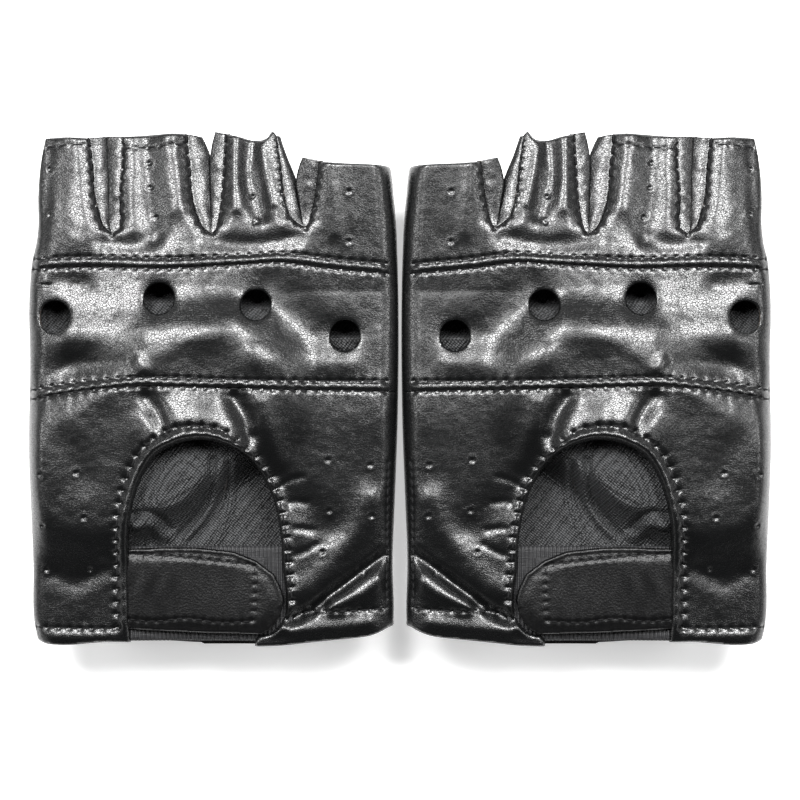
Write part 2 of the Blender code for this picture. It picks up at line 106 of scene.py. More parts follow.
UPPER_ROWS = (
    [(113.6, 120.2), (90, 120.6), (71.5, 120.0), (51.3, 120.9), (34.3, 121.5), (21.9, 120.0), (4.6, 118.4)],
    [(113.8, 116.9), (90, 117.4), (74.6, 116.9), (51.3, 118.0), (37.4, 118.7), (21.9, 116.9), (4.4, 115.3)],
)
LOWER_ROWS = (
    [(114.4, 79.4), (94.7, 82.2), (75.5, 83.2), (56, 82.6), (37, 82.2), (4.4, 82.1)],
    [(114.4, 76.5), (94.7, 79.4), (72, 80.3), (56, 79.9), (37, 79.4), (4.4, 78.8)],
)
KNUCKLE_HOLES = [(106.8, 102.0, 4.9), (74.4, 107.6, 4.7), (44.5, 105.7, 4.6), (17.0, 96.3, 4.6)]
PERFORATIONS = [
    (109.1, 148.2), (108.7, 133.8), (78, 150), (77.5, 142.3), (75.5, 133), (45.8, 139.5), (45.1, 131.1),
    (15.8, 140.7), (15.8, 125.2), (110.7, 53.2), (99.7, 53.8), (110.2, 37.5), (97.2, 40), (109.6, 23.6),
    (96, 23.9), (22.3, 57.7), (9.1, 56.2), (21.9, 42), (8.8, 40.4), (23.9, 29.3), (11, 22),
]
KEYHOLE = [
    (83.4, -6), (83.6, 10), (83.7, 24), (83.5, 32), (82.9, 39.3), (81.3, 47), (79, 53.2), (74.8, 59.3),
    (68.6, 62.8), (60.9, 64.1), (52.4, 62.2), (46.2, 57.8), (42, 51.6), (38.9, 44.7), (37.4, 37.7),
    (36.6, 31.6), (36.2, 23.8), (35.4, 16.2), (36.4, 8.5), (40, 4.2), (44, 3.2), (44.4, -6),
]
KEYHOLE_ROW = [
    (87.1, 6.2), (87.4, 20.8), (87.2, 36.2), (85.5, 46.2), (83, 54.5), (79.4, 60.6), (74.3, 64.8),
    (70, 67.2), (62.5, 68.3), (54.7, 66.8), (49.2, 63.2), (43.9, 58.4), (39.6, 51.6), (36.9, 43.9),
    (35.2, 34.7), (34.4, 25.4), (33.3, 14.6),
]
# each finger gap: the stitched edge and the fold on the index side and on the little-finger side
GAPS = {
    "index_middle": (
        [(97.0, 158.0), (96.1, 151.5), (95.5, 145.3), (95.0, 139.9), (93.6, 134.5), (92.1, 130.3),
         (89.4, 128.0)],
        [(92.0, 158.6), (91.5, 151.5), (91.0, 145.3), (90.9, 139.9), (90.9, 133.8), (90.3, 130.0),
         (89.4, 128.6)],
        [(91.6, 158.6), (91.1, 151.5), (90.6, 145.3), (90.5, 139.9), (90.5, 133.8), (89.9, 130.0),
         (89.4, 128.6)],
        [(86.7, 158.5), (86.5, 149.2), (87.0, 143.0), (87.1, 136.8), (86.9, 132.0), (87.4, 129.2),
         (89.4, 128.0)],
    ),
    "middle_ring": (
        [(66.5, 159.2), (66.1, 153.8), (65.3, 147.6), (64.9, 142.2), (64.0, 136.8), (62.4, 132.2),
         (60.5, 129.1), (58.4, 127.9)],
        [(62.1, 158.5), (60.6, 155.4), (59.4, 152.0), (59.3, 147.0), (59.0, 141.0), (58.8, 135.0),
         (58.5, 130.5), (58.4, 128.6)],
        [(57.4, 160.0), (58.4, 156.0), (58.9, 152.0), (58.9, 147.0), (58.6, 141.0), (58.4, 135.0),
         (58.2, 130.5), (58.4, 128.6)],
        [(54.3, 159.3), (54.6, 153.0), (54.9, 147.6), (55.3, 141.4), (55.8, 136.1), (56.6, 131.4),
         (57.3, 129.0), (58.4, 127.9)],
    ),
    "ring_little": (
        [(38.4, 158.6), (37.9, 154.5), (37.1, 149.2), (36.4, 143.0), (35.4, 137.6), (33.9, 133.0),
         (31.4, 130.7), (29.4, 129.8)],
        [(37.6, 158.4), (35.6, 152.5), (33.6, 147.6), (32.3, 144.0), (31.7, 139.5), (30.9, 135.0),
         (30.1, 131.9), (29.4, 130.4)],
        [(29.9, 151.5), (31.1, 148.4), (31.8, 145.2), (31.9, 143.0), (31.3, 139.5), (30.5, 135.0),
         (29.9, 131.9), (29.4, 130.4)],
        [(25.2, 150.4), (25.4, 146.5), (25.8, 143.0), (26.6, 137.6), (27.6, 133.0), (28.5, 130.6),
         (29.4, 129.8)],
    ),
}
CROTCH = 129.0

STRAP = [
    (87, 5.8), (87, 30.3), (83.2, 30.4), (72, 30.8), (62.2, 30.7), (51.3, 29.5), (44.5, 26.7),
    (38.9, 22.6), (36.4, 17.4), (35.8, 14.3), (37, 9.6), (39.8, 5.6), (42.9, 4.0), (60, 4.4), (83.9, 5.5),
]
STRAP_ROWS = [[(82.6, 28.6), (70, 27.8), (58, 26.6), (47, 25.4)], [(45.0, 24.8), (44.7, 16), (45.3, 8.4)],
              [(84.0, 8.6), (76, 8.0), (66, 8.9), (56, 7.7), (46, 8.0)]]
PALM_CREASES = [
    [(112, 92), (90, 96), (60, 100), (30, 98), (8, 92)],
    [(100, 26), (70, 30), (40, 28), (12, 22)],
]

# Soft forms of the leather: a path, its half width and its height (below 0 for a valley)
BACK_FORMS = [
    ([(79.5, 158), (79, 146), (77.5, 134), (76, 129)], 4.2, -1.5),
    ([(71.5, 157), (70, 146), (69, 136)], 3.4, 0.8),
    ([(100, 157), (100, 145), (100, 127)], 7.0, 1.5),
    ([(109.5, 156), (110, 140), (111, 122)], 1.8, -0.5),
    ([(51.5, 158), (51, 146), (50.5, 136)], 2.4, 0.8),
    ([(46.3, 156), (46.8, 146), (43.5, 134)], 3.0, -1.7),
    ([(43.5, 155), (41.5, 146), (39.5, 137)], 1.4, 0.5),
    ([(22, 148), (21, 138), (20, 128)], 2.6, 0.6),
    ([(92, 125.2), (84, 124.4), (77, 125.4)], 3.0, -0.9),
    ([(60, 125.8), (50, 124.4), (38, 125.4), (32, 127)], 3.0, -0.9),
    ([(102, 97), (90, 96), (80, 98)], 8.0, 2.6),
    ([(102, 87.5), (92, 86.5), (84, 87)], 3.6, -0.6),
    ([(68, 100), (58, 98), (52, 101)], 7.0, 1.3),
    ([(40, 112), (33, 104), (26, 98)], 6.0, -1.1),
    ([(44, 90), (30, 88), (16, 88)], 5.0, 0.9),
    ([(106, 113), (98, 112)], 3.0, -0.5),
    ([(80.3, 88), (78.6, 86)], 2.2, 0.8),
    ([(72, 66.5), (66, 68.5), (59, 68.5), (54, 66)], 7.5, 2.9),
    ([(77.5, 77), (74.5, 72), (72.5, 67.5)], 2.6, -1.9),
    ([(51, 77), (47.5, 71), (46, 65.5)], 2.9, -2.1),
    ([(42.5, 75), (40, 66), (37.5, 58)], 3.6, 1.1),
    ([(33, 46), (28, 42), (24, 37)], 5.0, -0.9),
    ([(31, 17.4), (24, 22), (18.8, 28.2), (13, 36), (9.5, 45.3)], 4.4, 1.3),
    ([(34.5, 8.0), (28, 11.0), (20.5, 16.5), (12, 23.0), (4.5, 28.5)], 1.9, -2.2),
    ([(20, 13), (12, 16.5), (6.5, 20.5)], 3.2, 1.7),
    ([(33, 5.2), (22, 5.9), (10, 7.2)], 2.6, 1.0),
    ([(37.5, 49.5), (34, 51.5), (30, 52.5)], 1.0, -0.35),
    ([(36.4, 43.5), (33, 44.8), (29, 44.5)], 1.1, -0.35),
    ([(35.8, 36), (31, 36.6), (27, 36)], 1.1, -0.4),
    ([(35.3, 27.5), (30, 29.2), (26, 31.5)], 1.2, -0.45),
    ([(112, 3.2), (100, 3.0), (90, 3.2)], 2.0, 0.6),
    ([(108, 66), (101, 60), (96, 52)], 5.0, -0.5),
    ([(108, 22), (100, 20), (92, 24)], 3.0, -0.7),
    ([(112, 112), (108.5, 111.8)], 0.5, -0.5),
]
# Folds of the knit seen in the keyhole, in the same form
LINING_FOLDS = [
    ([(57.7, 57.8), (59.3, 48.6), (62.4, 41.4), (68.5, 34.2)], 1.2, -2.4),
    ([(55.4, 57.0), (57.2, 48.0), (60.8, 40.3), (67.0, 33.2)], 1.2, 1.3),
    ([(53.1, 56.8), (55.2, 47.6), (59.3, 39.3), (65.4, 32.2)], 0.9, -1.8),
    ([(51.6, 57.0), (52.8, 46.0), (53.8, 41.0), (57.2, 32.2)], 0.8, 1.3),
    ([(81, 37.0), (77, 37.4), (73.5, 34.3)], 2.3, 3.0),
    ([(82.5, 40.6), (78, 41.6), (74.5, 39.6), (72.4, 36)], 1.2, -2.6),
]


def smooth_step(x):
    """0 below 0, 1 above 1, and an easy slope between."""
    x = np.clip(x, 0.0, 1.0)
    return x * x * (3 - 2 * x)


def bell(distance, width):
    """1 at no distance, falling smoothly to nearly 0 at twice the width."""
    return np.exp(-((distance / width) ** 2))


def read_keys(keys, at):
    """Smooth values through (place, value) keys."""
    keys = np.array(keys, float)
    place, value = keys[:, 0], keys[:, 1]
    slope = np.gradient(value, place)
    at = np.clip(at, place[0], place[-1])
    i = np.clip(np.searchsorted(place, at, side="right") - 1, 0, len(place) - 2)
    span = place[i + 1] - place[i]
    t = (at - place[i]) / span
    return (
        value[i] * (2 * t**3 - 3 * t**2 + 1) + slope[i] * span * (t**3 - 2 * t**2 + t)
        + value[i + 1] * (3 * t**2 - 2 * t**3) + slope[i + 1] * span * (t**3 - t**2)
    )


def resample(points, step=None, count=None):
    """A smooth path through plan points, with evenly spaced points."""
    points = np.array(points, float)
    length = np.concatenate([[0], np.cumsum(np.linalg.norm(np.diff(points, axis=0), axis=1))])
    fine = np.linspace(0, length[-1], 40 * len(points))
    path = np.stack([read_keys(np.stack([length, points[:, i]], 1), fine) for i in range(points.shape[1])], 1)
    real = np.concatenate([[0], np.cumsum(np.linalg.norm(np.diff(path, axis=0), axis=1))])
    count = count or max(2, round(real[-1] / step) + 1)
    even = np.linspace(0, real[-1], count)
    return np.stack([np.interp(even, real, path[:, i]) for i in range(points.shape[1])], 1)


def near_path(u, v, path, reach):
    """Distance from a path and length along it, for the points within reach; far points get inf."""
    path = np.asarray(path, float)
    shape = np.shape(u)
    u, v = np.ravel(u), np.ravel(v)
    low, high = path.min(0) - reach, path.max(0) + reach
    close = np.flatnonzero((u > low[0]) & (u < high[0]) & (v > low[1]) & (v < high[1]))
    distance, along = np.full(u.shape, np.inf), np.zeros(u.shape)
    best, where = np.full(close.shape, np.inf), np.zeros(close.shape)
    start = 0.0
    for a, b in zip(path[:-1], path[1:]):
        edge = b - a
        size = np.hypot(*edge)
        t = np.clip(((u[close] - a[0]) * edge[0] + (v[close] - a[1]) * edge[1]) / size**2, 0, 1)
        d = np.hypot(u[close] - a[0] - t * edge[0], v[close] - a[1] - t * edge[1])
        better = d < best
        best = np.where(better, d, best)
        where = np.where(better, start + t * size, where)
        start += size
    distance[close], along[close] = best, where
    return distance.reshape(shape), along.reshape(shape)


def inside(u, v, outline):
    """Which points lie inside a closed plan outline."""
    odd = np.zeros(np.shape(u), bool)
    for (u0, v0), (u1, v1) in zip(outline, np.roll(outline, -1, axis=0)):
        if v0 != v1:
            crosses = ((v0 > v) != (v1 > v)) & (u < (u1 - u0) * (v - v0) / (v1 - v0) + u0)
            odd ^= crosses
    return odd


def outside_outline(u, v, outline, reach=12.0):
    """Signed distance to a closed outline, above 0 outside it; beyond reach it is only large."""
    closed = np.vstack([outline, outline[:1]])
    distance = np.minimum(near_path(u, v, closed, reach)[0], reach)
    return np.where(inside(u, v, outline), -distance, distance)


def noise(u, v, size, seed):
    """Smooth noise from -1 to 1 over the plan, with features of about the given size."""
    lattice = np.random.default_rng(seed).uniform(-1, 1, (97, 97))
    x, y = np.asarray(u) / size + 31.7, np.asarray(v) / size + 17.3
    i, j = np.floor(x).astype(int), np.floor(y).astype(int)
    fx, fy = smooth_step(x - i), smooth_step(y - j)
    i0, j0, i1, j1 = i % 97, j % 97, (i + 1) % 97, (j + 1) % 97
    low = lattice[i0, j0] * (1 - fx) + lattice[i1, j0] * fx
    high = lattice[i0, j1] * (1 - fx) + lattice[i1, j1] * fx
    return low * (1 - fy) + high * fy


# ---- the leather's form ----

keyhole_edge = resample(KEYHOLE, step=0.8)


def gap_outline(gap):
    """The closed outline of a gap between fingers, which runs on past the finger hems."""
    index_edge, little_edge = gap[0], gap[3]
    beyond_hems = [(little_edge[0][0], 170), (index_edge[0][0], 170)]
    return np.vstack([resample(index_edge, step=0.8), resample(little_edge, step=0.8)[::-1], beyond_hems])


gap_edges = {name: gap_outline(gap) for name, gap in GAPS.items()}


def keyhole_distance(u, v):
    """How far a point lies outside the keyhole."""
    return outside_outline(u, v, keyhole_edge)


def gap_distance(u, v):
    """How far a point lies from the nearest gap between fingers."""
    return np.minimum.reduce([outside_outline(u, v, edge) for edge in gap_edges.values()])


def hole_distance(u, v):
    """How far a point lies outside the nearest knuckle hole."""
    return np.minimum.reduce([np.hypot(u - hu, (v - hv) / 1.04) - r for hu, hv, r in KNUCKLE_HOLES])


def thumb_distance(u, v):
    """How far a point lies from the line along the folded thumb."""
    (root_u, root_v), (tip_u, tip_v) = THUMB_AXIS
    run_u, run_v = tip_u - root_u, tip_v - root_v
    along = np.clip(((u - root_u) * run_u + (v - root_v) * run_v) / (run_u**2 + run_v**2), 0, 1)
    return np.hypot(u - root_u - run_u * along, v - root_v - run_v * along)


def thumb_rise(u, v):
    """How much the thumb folded under the palm pushes the back up, from 0 to 1."""
    return smooth_step((33 - thumb_distance(u, v)) / 17)


class StitchRow:
    """A row of stitches: it presses a dimpled groove into the leather and carries the thread."""

    def __init__(self, points, depth=0.5, width=0.5, pitch=PITCH):
        self.path = resample(points, step=0.7)
        self.length = np.linalg.norm(np.diff(self.path, axis=0), axis=1).sum()
        self.count = max(1, round(self.length / pitch))
        self.pitch = self.length / self.count
        self.depth, self.width = depth, width

    def press(self, u, v):
        """Change of height that the row makes in the leather."""
        d, along = near_path(u, v, self.path, 6.0)
        phase = 2 * np.pi * along / self.pitch
        groove = -0.55 * self.depth * bell(d, self.width)
        needle = np.clip(np.cos(phase), 0, 1) ** 3
        hole = -1.5 * self.depth * needle * bell(d, self.width * 1.15)
        pucker = -0.14 * self.depth * np.cos(phase) * bell(d, 1.9)
        return groove + hole + pucker


def gap_row(gap, start, end):
    """The stitches round a finger gap, a little outside its edge, between two fractions of its length."""
    little_side = resample(gap[3], step=0.7)[::-1][1:]
    whole = np.vstack([resample(gap[0], step=0.7), little_side])
    centre = whole[len(whole) // 2] + (0, 8)
    away = whole - centre
    whole = whole + 0.55 * away / np.maximum(np.linalg.norm(away, axis=1), 1)[:, None]
    return StitchRow(whole[round(start * len(whole)):round(end * len(whole))], depth=0.55, pitch=3.6)


GAP_ROW_SPANS = {"index_middle": (0.0, 0.95), "middle_ring": (0.0, 1.0), "ring_little": (0.02, 0.98)}
rows = {f"upper_seam_thread_{i + 1}": StitchRow(row) for i, row in enumerate(UPPER_ROWS)}
rows.update({f"lower_seam_thread_{i + 1}": StitchRow(row) for i, row in enumerate(LOWER_ROWS)})
rows["keyhole_thread"] = StitchRow(KEYHOLE_ROW, depth=0.7, width=0.9, pitch=3.9)
rows["hem_thread"] = StitchRow([(33.5, 8.6), (31, 10.0), (27, 10.6), (16, 11.0), (5.5, 11.6)], depth=0.6)
rows["cuff_hem_thread"] = StitchRow([(113.0, 5.8), (100, 5.4), (88.6, 5.5)], depth=0.5)
rows["side_seam_thread"] = StitchRow([(4.2, 12), (4.1, 30), (3.9, 45), (3.6, 57)], depth=0.25, pitch=2.6)
for gap_name, gap in GAPS.items():
    rows[f"{gap_name}_thread"] = gap_row(gap, *GAP_ROW_SPANS[gap_name])
rows["middle_hem_thread"] = StitchRow([(86.2, 154.6), (80, 154.9), (67.3, 155.9)], depth=0.22)
rows["index_hem_thread"] = StitchRow([(110.2, 155.2), (104, 155.6), (98.5, 155.8)], depth=0.18)


def side_distance(u, v):
    """Distance in from the nearer long edge."""
    return np.minimum(u - read_keys(LITTLE_EDGE, v), read_keys(INDEX_EDGE, v) - u)


def side_fullness(d):
    """How full the section is a distance in from a long edge: a quarter circle, then flat."""
    x = np.clip(d / SIDE_RADIUS, 0, 1)
    return np.sqrt(np.clip(1 - (1 - x) ** 2, 0, 1))


def back_base(u, v):
    """The back of the glove without its small forms."""
    d = side_distance(u, v)
    fullness = side_fullness(d)
    crown = 0.4 - 1.6 * (1 - smooth_step((u - 2) / 40)) - 2.4 * (1 - smooth_step((114 - u) / 40))
    top = read_keys(BACK_TOP, v) + crown + THUMB_LIFT * thumb_rise(u, v)
    fingers = smooth_step((v - CROTCH + 4) / 9)
    top = top - 1.0 * fingers * smooth_step(1 - np.minimum(gap_distance(u, v), 9) / 4.5)
    top = top + 0.15 * np.maximum(v - 110, 0) * smooth_step((44 - u) / 16)
    return SEAM_Z + (top - SEAM_Z) * fullness


def back_form(u, v, fine=False):
    """The back with its soft forms, before any seam, hole or edge is pressed into it."""
    z = back_base(u, v)
    soft = smooth_step(side_distance(u, v) / 5)
    form = np.zeros(np.shape(u))
    for points, width, height in BACK_FORMS:
        d, along = near_path(u, v, resample(points, step=1.0), 3 * width)
        form += height * bell(d, width)
    form += 0.42 * noise(u, v, 19, 1) + 0.12 * noise(u, v, 8, 2)
    if fine:
        form += 0.06 * noise(u, v * 0.7, 3.2, 3) + 0.035 * noise(u * 0.8, v, 1.7, 4)
    return z + form * soft


def back_height(u, v):
    """Height of the outer face of the back leather, with its folds, seams and pores."""
    z = back_form(u, v, fine=True)
    soft = smooth_step(side_distance(u, v) / 5)
    for row in rows.values():
        z = z + row.press(u, v)
    for row_pair in (UPPER_ROWS, LOWER_ROWS):
        welt = (np.array(resample(row_pair[0], count=40)) + resample(row_pair[1], count=40)) / 2
        d, _ = near_path(u, v, welt, 5)
        z = z + 0.34 * np.exp(-((d / 1.15) ** 4)) * soft
    edge = keyhole_distance(u, v)
    z = z + 1.3 * bell(edge - 1.7, 1.6) * smooth_step((v - 2) / 5)
    z = z - 1.4 * (1 - np.sqrt(np.clip(1 - (1 - np.clip(edge / 1.5, 0, 1)) ** 2, 0, 1)))
    hole = hole_distance(u, v)
    z = z - 0.5 * np.exp(-(np.maximum(hole, 0) / 2.2)) - 0.15 * bell(np.maximum(hole, 0), 0.35)
    for i, (pu, pv) in enumerate(PERFORATIONS):
        x, y = u - pu, v - pv
        r = np.hypot(x, y)
        star = 1 + 0.35 * np.cos(5 * np.arctan2(y, x) + i)
        z = z - 0.8 * bell(r, 0.5) + 0.12 * bell(r - 1.2, 0.5) * star
    return z


def palm_bottom(u, v):
    """Height of the palm's downward face, which follows the thumb more closely than the back does."""
    return PALM_RECESS * smooth_step((29.5 - thumb_distance(u, v)) / 10.5)


def lining_height(u, v):
    """Height of the upper face of the knit lining on the palm side, with the folds seen in the keyhole."""
    z = LINING_Z + palm_bottom(u, v) * 1.12
    d = side_distance(u, v)
    z = z + 2.8 * smooth_step(1 - d / 9)
    across, along = (u - 68) * 0.96 + (v - 47) * 0.28, (v - 47) * 0.96 - (u - 68) * 0.28
    z = z + 4.6 * np.exp(-((across / 8) ** 2) - (along / 13) ** 2)
    for points, width, height in LINING_FOLDS:
        d, _ = near_path(u, v, resample(points, step=0.8), 3 * width)
        z = z + height * bell(d, width)
    z = z + KNUCKLE_LINING_LIFT * smooth_step((v - 84) / 12) * smooth_step(d / 12)
    for i, (hole_u, hole_v, radius) in enumerate(KNUCKLE_HOLES):
        above = smooth_step((v - hole_v + (6 if i == 0 else 1.2)) / 2.5)
        away = np.hypot(u - hole_u, v - hole_v)
        z = z - KNUCKLE_LINING_LIFT * above * smooth_step((radius + 3 - away) / 2.5)
    return z + 0.25 * noise(u, v, 6, 11)


# ---- meshes ----

def glove_grid(cell, v_low, v_high, inset=0.0):
    """Plan positions of a grid that follows the long edges, as (rows, columns) arrays."""
    turn = np.linspace(0, math.pi / 2, max(4, round(SIDE_RADIUS * math.pi / 2 / cell)) + 1)
    round_part, middle = SIDE_RADIUS * (1 - np.cos(turn)), max(4, round(100 / cell))
    v = np.linspace(v_low, v_high, round((v_high - v_low) / cell) + 1)
    little = read_keys(LITTLE_EDGE, v)[:, None] + inset
    index = read_keys(INDEX_EDGE, v)[:, None] - inset
    share = np.linspace(0, 1, middle + 1)[1:-1]
    inner = (little + SIDE_RADIUS) * (1 - share) + (index - SIDE_RADIUS) * share
    u = np.hstack([little + round_part, inner, index - round_part[::-1]])
    return u, np.repeat(v[:, None], u.shape[1], axis=1)


def plain_grid(u_low, u_high, v_low, v_high, cell_u, cell_v=None):
    """Plan positions of a straight grid, as (rows, columns) arrays."""
    u = np.linspace(u_low, u_high, round((u_high - u_low) / cell_u) + 1)
    v = np.linspace(v_low, v_high, round((v_high - v_low) / (cell_v or cell_u)) + 1)
    return np.meshgrid(u, v)


def grid_quads(rows, columns):
    """Corner numbers of a grid's quads."""
    i = np.arange(rows * columns).reshape(rows, columns)
    return np.stack([i[:-1, :-1], i[:-1, 1:], i[1:, 1:], i[1:, :-1]], -1).reshape(-1, 4)


def trimmed(u, v, beyond):
    """The part of a grid where beyond(u, v) < 0, its edge moved onto the outline: flat u, v and quads."""
    rows, columns = u.shape
    u, v, quads = u.ravel(), v.ravel(), grid_quads(rows, columns)
    centre_u, centre_v = u[quads].mean(1), v[quads].mean(1)
    kept = beyond(centre_u, centre_v) < 0
    used = np.zeros(u.size, bool)
    used[quads[kept]] = True
    touching = np.zeros(u.size, bool)
    touching[quads[~kept]] = True
    edge = np.flatnonzero(used & touching)
    step = 0.05
    for _ in range(3):
        eu, ev = u[edge], v[edge]
        f = beyond(eu, ev)
        slope_u = (beyond(eu + step, ev) - beyond(eu - step, ev)) / (2 * step)
        slope_v = (beyond(eu, ev + step) - beyond(eu, ev - step)) / (2 * step)
        size = np.maximum(slope_u**2 + slope_v**2, 0.3)
        move = np.clip(f / size, -0.6, 0.6)
        u[edge], v[edge] = eu - move * slope_u, ev - move * slope_v
    number = np.cumsum(used) - 1
    return u[used], v[used], number[quads[kept]]


def add_mesh(name, side, points, faces, materials):
    """An object from plan points in millimetres, mirrored for the right-hand glove."""
    points = np.asarray(points, float)
    place = np.stack([side * points[:, 0], points[:, 1] + WRIST_Y, points[:, 2]], 1) * MM
    faces = np.asarray(faces)
    if side < 0:
        faces = faces[:, ::-1]
    mesh = bpy.data.meshes.new(name)
    mesh.vertices.add(len(place))
    mesh.vertices.foreach_set("co", place.ravel())
    corners = faces.shape[1]
    mesh.loops.add(faces.size)
    mesh.loops.foreach_set("vertex_index", faces.ravel().astype(np.int32))
    mesh.polygons.add(len(faces))
    mesh.polygons.foreach_set("loop_start", np.arange(0, faces.size, corners, dtype=np.int32))
    mesh.update(calc_edges=True)
    mesh.validate()
    mesh.shade_smooth()
    for material in materials:
        mesh.materials.append(material)
    obj = bpy.data.objects.new(name, mesh)
    bpy.context.scene.collection.objects.link(obj)
    return obj


def thicken(obj, thickness, rim=1, inner=2):
    """Gives a sheet its thickness behind its faces, with other finishes on the cut edge and inside."""
    solid = obj.modifiers.new("thickness", "SOLIDIFY")
    solid.thickness = thickness * MM
    solid.offset = -1
    solid.use_even_offset = False
    solid.material_offset = inner
    solid.material_offset_rim = rim
    evaluated = obj.evaluated_get(bpy.context.evaluated_depsgraph_get())
    mesh = bpy.data.meshes.new_from_object(evaluated)
    obj.modifiers.clear()
    obj.data = mesh
    return obj


def hem_line(u):
    """Where the fingers end, as a function of u."""
    return read_keys(FINGER_HEM, u)


def wrist_line(u):
    """Where the back ends at the wrist, as a function of u."""
    return read_keys(WRIST_HEM, u)


def seam_line(row):
    """The seam's place along the glove as a function of u."""
    keys = sorted(row)
    return lambda u: read_keys(keys, u)


upper_line, lower_line = seam_line(UPPER_ROWS[1]), seam_line(LOWER_ROWS[1])


def rounded_edge(beyond, radius=0.8, depth=0.45):
    """How much a sheet's face falls at its cut or folded edge."""
    x = np.clip(1 + beyond / radius, 0, 1)
    return depth * (1 - np.sqrt(1 - x**2))


def finger_beyond(u, v):
    """Signed distance outside the finger panel."""
    return np.maximum.reduce([v - hem_line(u), -gap_distance(u, v), upper_line(u) - v])


def knuckle_beyond(u, v):
    """Signed distance outside the knuckle panel, with its tuck under the finger panel."""
    return np.maximum.reduce([v - upper_line(u) - TUCK, -hole_distance(u, v), lower_line(u) - v])


def cuff_beyond(u, v):
    """Signed distance outside the cuff panel, with its tuck under the knuckle panel."""
    return np.maximum.reduce([v - lower_line(u) - TUCK, -keyhole_distance(u, v), wrist_line(u) - v])


def back_sheet(v_low, v_high, beyond, tuck_line=None):
    """One leather panel of the back; past its tuck line it passes under the next panel."""
    u, v, quads = trimmed(*glove_grid(CELL, v_low, v_high), beyond)
    z = back_height(u, v)
    if tuck_line:
        z = z - (LEATHER + 0.15) * smooth_step((v - tuck_line(u) - 0.2) / 0.7)
    free = np.maximum.reduce([v - hem_line(u), wrist_line(u) - v, -gap_distance(u, v)])
    z = z - rounded_edge(free)
    return np.stack([u, v, z], 1), quads


def palm_height(u, v):
    """Height of the palm's outer face, which faces down."""
    d = side_distance(u, v)
    fullness = side_fullness(d * 1.1)
    low = palm_bottom(u, v) * smooth_step((d - 1.0) / 7)
    low = low + 1.5 * smooth_step(1 - gap_distance(u, v) / 2.6)
    return SEAM_Z - 0.25 + (low - SEAM_Z + 0.25) * fullness


def palm_beyond(u, v):
    """Signed distance outside the palm, which has an opening for the thumb."""
    thumb = np.hypot((u - 83) / 10.5, (v - 56) / 12.5) * 10.5 - 10.5
    return np.maximum.reduce([v - hem_line(u) + 0.4, -gap_distance(u, v), palm_hem(u) - v, -thumb])


def palm_hem(u):
    """Where the palm ends at the wrist; it shows under the elastic."""
    return np.where((u > 42) & (u < 84), wrist_line(u), wrist_line(u) + 0.35)


def palm_sheet():
    """The palm and finger fronts, flat underneath and raised over the folded thumb."""
    u, v, quads = trimmed(*glove_grid(1.0, -0.2, 160.4), palm_beyond)
    z = palm_height(u, v)
    flat = smooth_step(side_distance(u, v) / 6)
    z = z + flat * np.abs(0.25 * noise(u, v, 12, 21))
    for crease in PALM_CREASES:
        d, _ = near_path(u, v, resample(crease, step=1.0), 4)
        z = z + 0.35 * bell(d, 1.1) * flat
    z = z + 0.4 * bell(v - palm_hem(u) - 5.5, 0.6) * flat
    return np.stack([u, v, z], 1), quads[:, ::-1]


def palm_lining_sheet():
    """The knit on the palm side, as it lies folded inside the glove."""
    u, v, quads = trimmed(*glove_grid(0.8, 0.6, 124, inset=1.9), lining_beyond)
    z = lining_height(u, v)
    top = back_base(u, v) - 2.6
    z = np.minimum(z, np.maximum(top, 3.0))
    return np.stack([u, v, z], 1), quads


def lining_beyond(u, v):
    """Signed distance past the linings' wrist edge."""
    return wrist_line(u) + 1.0 - v


def back_lining_beyond(u, v):
    """Signed distance outside the back lining."""
    return np.maximum.reduce([1.0 - hole_distance(u, v), 4.5 - keyhole_distance(u, v), lining_beyond(u, v)])


def back_lining_sheet():
    """The knit under the back leather, open at the knuckle holes and the keyhole."""
    u, v, quads = trimmed(*glove_grid(1.3, 1.6, 124, inset=1.7), back_lining_beyond)
    z = back_form(u, v) - BACK_LINING_DEPTH
    floor = np.minimum(lining_height(u, v) + 0.7, z)
    return np.stack([u, v, np.maximum(z, floor)], 1), quads[:, ::-1]


def fourchette_sheet(gap, index_side):
    """One side wall of a finger: from under the back's stitched edge out to the fold and in to the palm."""
    edge, fold = (GAPS[gap][0], GAPS[gap][1]) if index_side else (GAPS[gap][3], GAPS[gap][2])
    count = 70
    edge, fold = resample(edge, count=count), resample(fold, count=count)
    fold = fold + np.array([-0.35 if index_side else 0.35, 0])
    away = np.where(index_side, 1.0, -1.0)
    back = back_form(edge[:, 0], edge[:, 1]) - 0.1
    width = np.linalg.norm(edge - fold, axis=1)
    low = back - 1.0 - 0.26 * width - (0.5 if index_side else 0.0)
    profile = []
    for q in np.linspace(-0.35, 0, 4):
        profile.append((edge[:, 0] - away * q * 4, edge[:, 1], back - 1.15))
    for q in np.linspace(0.06, 1, 13):
        point = edge * (1 - q) + fold * q
        z = back - 1.0 + (low - back + 1.0) * q**1.9
        wrinkle = 0.14 * noise(point[:, 0] * 0.6, point[:, 1], 2.2, 40 + index_side)
        profile.append((point[:, 0], point[:, 1], z + wrinkle * math.sin(math.pi * q)))
    for q in np.linspace(0.1, 1, 8):
        point = fold * (1 - q) + edge * q
        z = low + (2.3 - low) * q
        profile.append((point[:, 0] + away * 0.2 * q, point[:, 1], z))
    points = np.array(profile).transpose(2, 0, 1)
    quads = grid_quads(count, len(profile))
    if not index_side:
        quads = quads[:, ::-1]
    return points.reshape(-1, 3), quads


def thumb_section(t, inset):
    """The folded thumb's flat section along its length: its plan middle, half width and direction."""
    middle = np.array(THUMB_ROOT) * (1 - t) + np.array(THUMB_TIP) * t
    half = 16.6 - 3.0 * t - inset + 0.5 * math.sin(3 * t)
    turn = math.radians(34) * smooth_step(t)
    return middle, half, np.array([math.sin(turn), math.cos(turn)])


